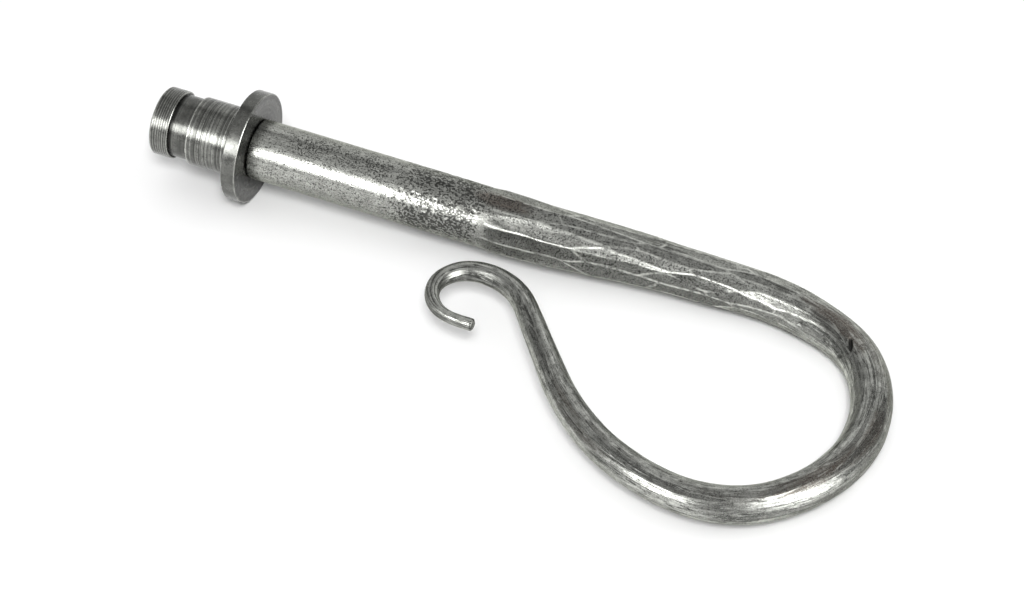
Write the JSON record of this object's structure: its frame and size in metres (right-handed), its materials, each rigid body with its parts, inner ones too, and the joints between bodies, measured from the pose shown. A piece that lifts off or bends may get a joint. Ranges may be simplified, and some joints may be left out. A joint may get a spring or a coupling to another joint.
{
  "type": "curtain pole finial",
  "caption": "Forged shepherd's crook finial in pewter-finished steel, with a turned, grooved and flanged spigot that plugs into the end of a hollow curtain pole.",
  "frame": {"origin": "on the spigot's axis, at the flange face that seats against the end of the curtain pole", "axes": "+X along the bar from the spigot towards the crook, the crook in the XY plane on the -Y side, +Z square to the crook's plane"},
  "size_m": [0.1765, 0.0779, 0.025],
  "materials": {
    "turned_pewter": "lathe-turned steel with a dark pewter patina, rubbed bright on its edges",
    "forged_pewter": "forged steel with a dark pewter patina, pitted, hammered, and rubbed bright on its ridges",
    "stud_steel": "plain machined steel"
  },
  "bodies": {
    "root": {"turned_spigot": "turned_pewter", "crook_bar": "forged_pewter", "joining_stud": "stud_steel"}
  },
  "joints": []
}
